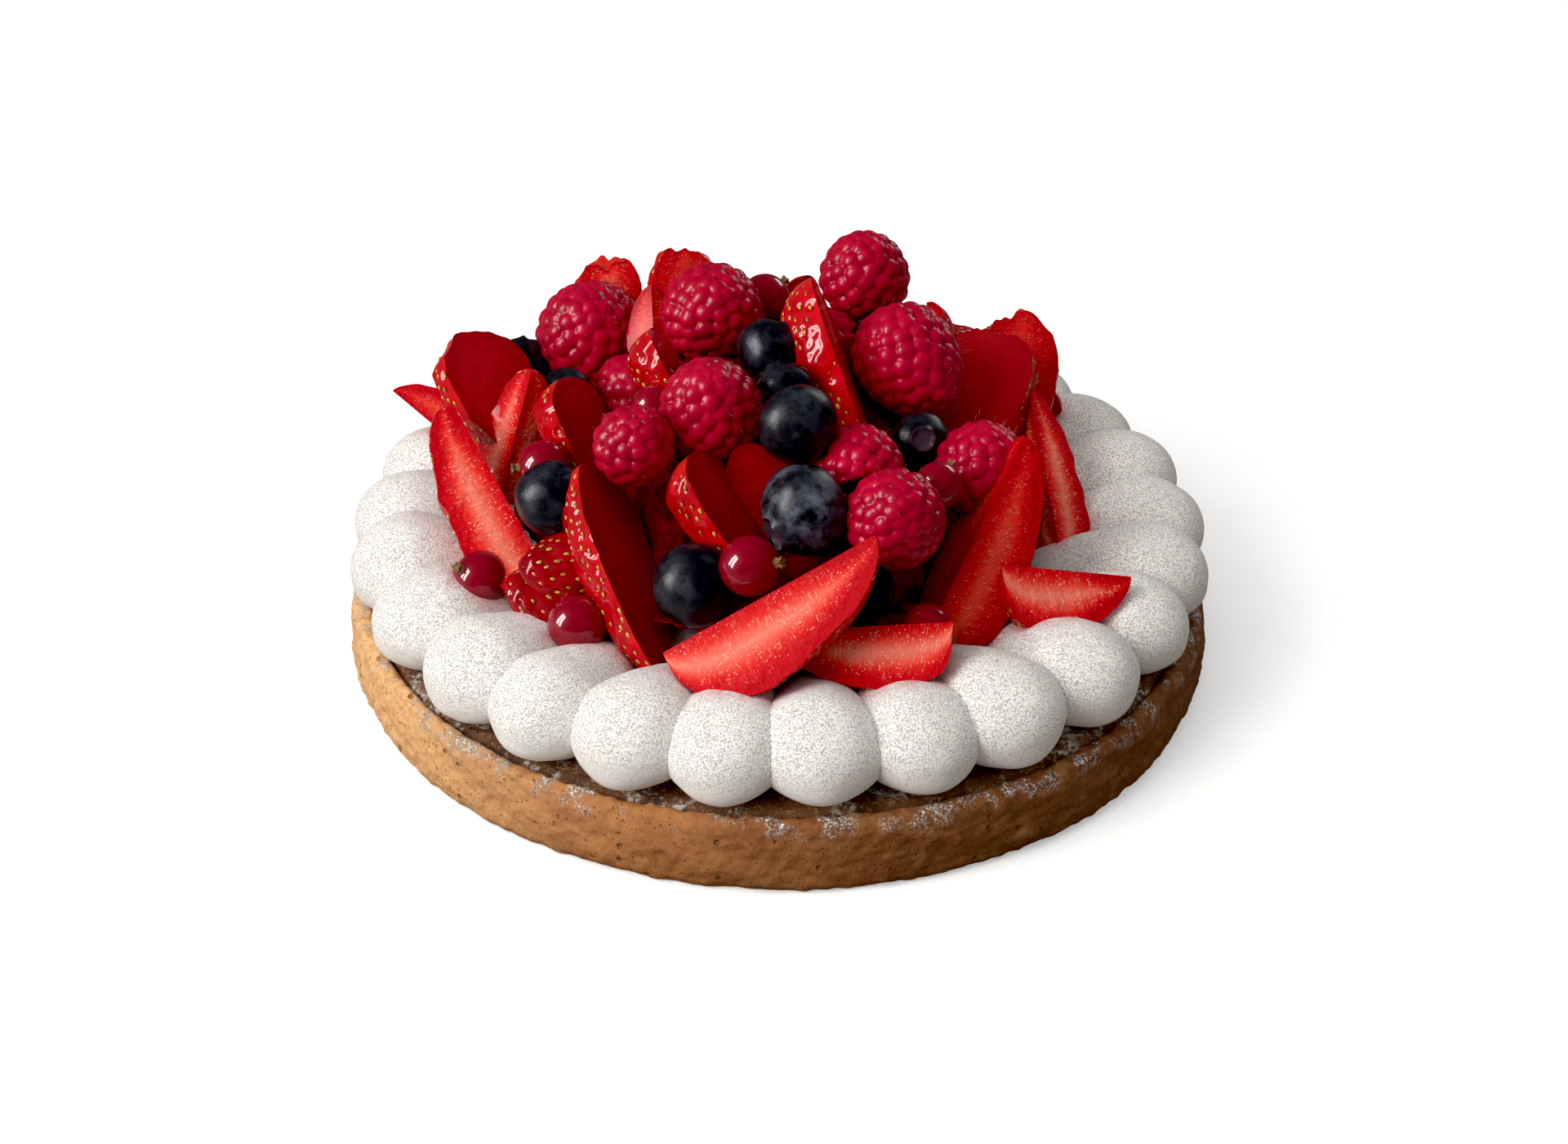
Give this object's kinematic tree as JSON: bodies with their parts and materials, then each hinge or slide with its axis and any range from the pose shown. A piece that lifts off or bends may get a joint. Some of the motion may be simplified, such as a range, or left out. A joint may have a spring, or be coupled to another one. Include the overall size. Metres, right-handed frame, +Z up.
{
  "type": "berry tart",
  "caption": "Round baked tart case with almond filling, a ring of piped cream drops and a loose heap of mixed berries and cut strawberries.",
  "frame": {"origin": "centre of the flat underside of the pastry case", "axes": "+Z up through the heap of fruit, -Y towards the viewer of the picture, +X to the viewer's right"},
  "size_m": [0.161, 0.1611, 0.0689],
  "materials": {
    "crust": "baked, dry and porous",
    "filling": "baked, dull",
    "cream": "soft matt with fine sugar",
    "heap": "wet fruit in shade",
    "raspberry": "soft sheen",
    "blueberry": "waxy bloom",
    "redcurrant": "glossy, slightly see-through",
    "strawberry": "glossy skin and wet cut faces"
  },
  "bodies": {
    "root": {"pastry_case": "crust", "almond_filling": "filling", "piped_cream": "cream", "heap_core": "heap", "raspberry_left_back": "raspberry", "raspberry_back": "raspberry", "raspberry_top": "raspberry", "raspberry_right_back": "raspberry", "raspberry_middle": "raspberry", "raspberry_small": "raspberry", "raspberry_hollow": "raspberry", "raspberry_front": "raspberry", "raspberry_right": "raspberry", "blueberry_left_back": "blueberry", "blueberry_left": "blueberry", "blueberry_deep": "blueberry", "blueberry_behind": "blueberry", "blueberry_middle": "blueberry", "blueberry_crown": "blueberry", "blueberry_left_front": "blueberry", "blueberry_large": "blueberry", "blueberry_front": "blueberry", "blueberry_shade": "blueberry", "redcurrant_back": "redcurrant", "redcurrant_left_top": "redcurrant", "redcurrant_left": "redcurrant", "redcurrant_edge": "redcurrant", "redcurrant_low": "redcurrant", "redcurrant_front": "redcurrant", "redcurrant_right": "redcurrant", "redcurrant_shade": "redcurrant", "strawberry_far_left": "strawberry", "strawberry_left_slice": "strawberry", "strawberry_long_left": "strawberry", "strawberry_thin_wedge": "strawberry", "strawberry_left_half": "strawberry", "strawberry_small_left": "strawberry", "strawberry_large_half": "strawberry", "strawberry_middle_half": "strawberry", "strawberry_front": "strawberry", "strawberry_front_right": "strawberry", "strawberry_right_wedge": "strawberry", "strawberry_big_wedge": "strawberry", "strawberry_right_slice": "strawberry", "strawberry_right_back": "strawberry", "strawberry_behind_right": "strawberry", "strawberry_tall_half": "strawberry", "strawberry_back_tip": "strawberry", "strawberry_right_tip": "strawberry", "strawberry_left_top": "strawberry", "strawberry_back_left": "strawberry", "strawberry_back_cut": "strawberry", "strawberry_back_half": "strawberry", "strawberry_deep": "strawberry", "strawberry_dark_low": "strawberry", "strawberry_rear_left": "strawberry", "strawberry_rear_middle": "strawberry", "strawberry_rear_right": "strawberry", "strawberry_rear_side": "strawberry"}
  },
  "joints": []
}
